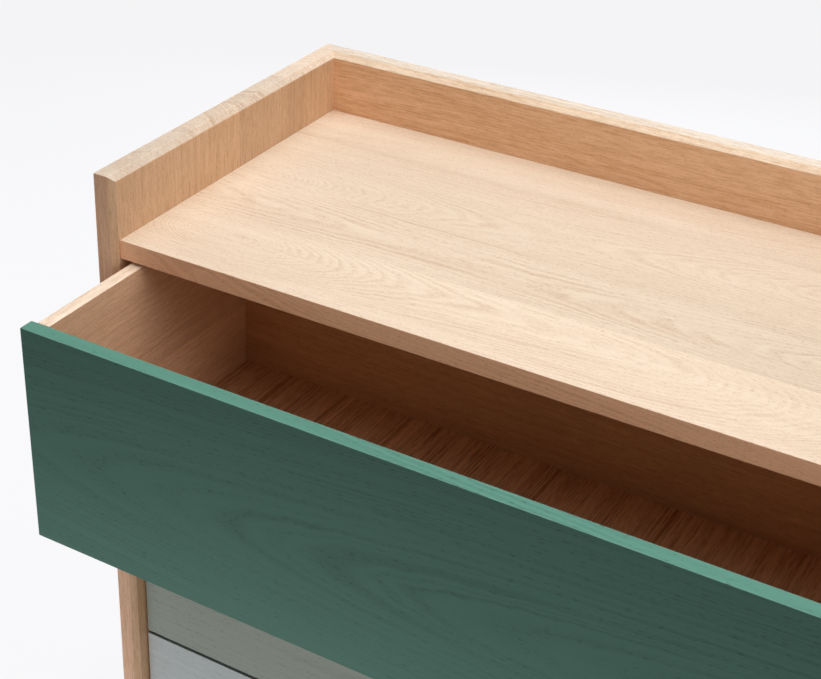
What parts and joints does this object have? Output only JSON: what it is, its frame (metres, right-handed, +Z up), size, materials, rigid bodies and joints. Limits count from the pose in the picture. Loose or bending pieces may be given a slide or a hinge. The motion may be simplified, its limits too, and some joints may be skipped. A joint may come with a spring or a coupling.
{
  "type": "semainier chest of drawers",
  "caption": "Tall oak chest with full-width push-to-open drawers in stained fronts, and a recessed top that makes a shallow open tray.",
  "frame": {"origin": "on the floor, under the middle of the carcass's width and depth: the underside of the middle glide", "axes": "+Z up; +X to the right as seen from the front, along the drawers; +Y from the front to the back, so the drawers open towards -Y"},
  "size_m": [0.95, 0.6295, 1.24],
  "materials": {
    "oak": "oiled pale solid oak, fine grain",
    "drawer_oak": "oiled solid oak, satin",
    "oak_plywood": "oak-faced board",
    "front_1": "dark green stain, matte, grain showing",
    "front_2": "grey-green stain, matte, grain showing",
    "front_3": "blue-grey stain, matte, grain showing",
    "front_4": "pale grey stain, matte, grain showing",
    "beech_dowel": "bare beech",
    "runner_steel": "zinc-plated sheet steel",
    "screw_steel": "zinc-plated steel",
    "latch_plastic": "moulded grey plastic",
    "glide_plastic": "moulded brown plastic"
  },
  "bodies": {
    "carcass": {"side_left": "oak", "side_right": "oak", "top_panel": "oak", "bottom_panel": "oak", "back_rail": "oak", "back_panel": "oak_plywood", "plinth_front": "oak", "plinth_back": "oak", "plinth_brace": "oak", "foot_glides": "glide_plastic", "carcass_dowels": "beech_dowel", "back_panel_screws": "screw_steel", "carcass_runner_screws": "screw_steel", "latch_housings": "latch_plastic", "carcass_runner_1": "runner_steel", "carcass_runner_2": "runner_steel", "carcass_runner_3": "runner_steel", "carcass_runner_4": "runner_steel"},
    "drawer_1": {"drawer_1_front": "front_1", "drawer_1_side_left": "drawer_oak", "drawer_1_side_right": "drawer_oak", "drawer_1_back": "drawer_oak", "drawer_1_floor": "drawer_oak", "drawer_1_dowels": "beech_dowel", "drawer_1_runner_screws": "screw_steel", "drawer_runner_1": "runner_steel"},
    "middle_runner_1": {"middle_runner_1": "runner_steel"},
    "latch_plunger_1": {"latch_plunger_1": "latch_plastic"},
    "drawer_2": {"drawer_2_front": "front_2", "drawer_2_side_left": "drawer_oak", "drawer_2_side_right": "drawer_oak", "drawer_2_back": "drawer_oak", "drawer_2_floor": "drawer_oak", "drawer_2_dowels": "beech_dowel", "drawer_2_runner_screws": "screw_steel", "drawer_runner_2": "runner_steel"},
    "middle_runner_2": {"middle_runner_2": "runner_steel"},
    "latch_plunger_2": {"latch_plunger_2": "latch_plastic"},
    "drawer_3": {"drawer_3_front": "front_3", "drawer_3_side_left": "drawer_oak", "drawer_3_side_right": "drawer_oak", "drawer_3_back": "drawer_oak", "drawer_3_floor": "drawer_oak", "drawer_3_dowels": "beech_dowel", "drawer_3_runner_screws": "screw_steel", "drawer_runner_3": "runner_steel"},
    "middle_runner_3": {"middle_runner_3": "runner_steel"},
    "latch_plunger_3": {"latch_plunger_3": "latch_plastic"},
    "drawer_4": {"drawer_4_front": "front_4", "drawer_4_side_left": "drawer_oak", "drawer_4_side_right": "drawer_oak", "drawer_4_back": "drawer_oak", "drawer_4_floor": "drawer_oak", "drawer_4_dowels": "beech_dowel", "drawer_4_runner_screws": "screw_steel", "drawer_runner_4": "runner_steel"},
    "middle_runner_4": {"middle_runner_4": "runner_steel"},
    "latch_plunger_4": {"latch_plunger_4": "latch_plastic"}
  },
  "joints": [
    {"name": "drawer_1_slide", "type": "slide", "parent": "carcass", "child": "drawer_1", "axis": [0, -1, 0], "range_m": [-0.18, 0.17]},
    {"name": "middle_runner_1_slide", "type": "slide", "parent": "carcass", "child": "middle_runner_1", "axis": [0, -1, 0], "range_m": [-0.09, 0.085]},
    {"name": "latch_plunger_1_slide", "type": "slide", "parent": "carcass", "child": "latch_plunger_1", "axis": [0, 1, 0], "range_m": [0, 0.003], "stiffness_N_per_m": 400, "springref_m": -0.005},
    {"name": "drawer_2_slide", "type": "slide", "parent": "carcass", "child": "drawer_2", "axis": [0, -1, 0], "range_m": [0, 0.35]},
    {"name": "middle_runner_2_slide", "type": "slide", "parent": "carcass", "child": "middle_runner_2", "axis": [0, -1, 0], "range_m": [0, 0.175]},
    {"name": "latch_plunger_2_slide", "type": "slide", "parent": "carcass", "child": "latch_plunger_2", "axis": [0, 1, 0], "range_m": [0, 0.003], "stiffness_N_per_m": 400, "springref_m": -0.005},
    {"name": "drawer_3_slide", "type": "slide", "parent": "carcass", "child": "drawer_3", "axis": [0, -1, 0], "range_m": [0, 0.35]},
    {"name": "middle_runner_3_slide", "type": "slide", "parent": "carcass", "child": "middle_runner_3", "axis": [0, -1, 0], "range_m": [0, 0.175]},
    {"name": "latch_plunger_3_slide", "type": "slide", "parent": "carcass", "child": "latch_plunger_3", "axis": [0, 1, 0], "range_m": [0, 0.003], "stiffness_N_per_m": 400, "springref_m": -0.005},
    {"name": "drawer_4_slide", "type": "slide", "parent": "carcass", "child": "drawer_4", "axis": [0, -1, 0], "range_m": [0, 0.35]},
    {"name": "middle_runner_4_slide", "type": "slide", "parent": "carcass", "child": "middle_runner_4", "axis": [0, -1, 0], "range_m": [0, 0.175]},
    {"name": "latch_plunger_4_slide", "type": "slide", "parent": "carcass", "child": "latch_plunger_4", "axis": [0, 1, 0], "range_m": [0, 0.003], "stiffness_N_per_m": 400, "springref_m": -0.005}
  ],
  "couplings": [
    {"joint": "middle_runner_1_slide", "follows": "drawer_1_slide", "ratio": 0.5},
    {"joint": "middle_runner_2_slide", "follows": "drawer_2_slide", "ratio": 0.5},
    {"joint": "middle_runner_3_slide", "follows": "drawer_3_slide", "ratio": 0.5},
    {"joint": "middle_runner_4_slide", "follows": "drawer_4_slide", "ratio": 0.5}
  ]
}
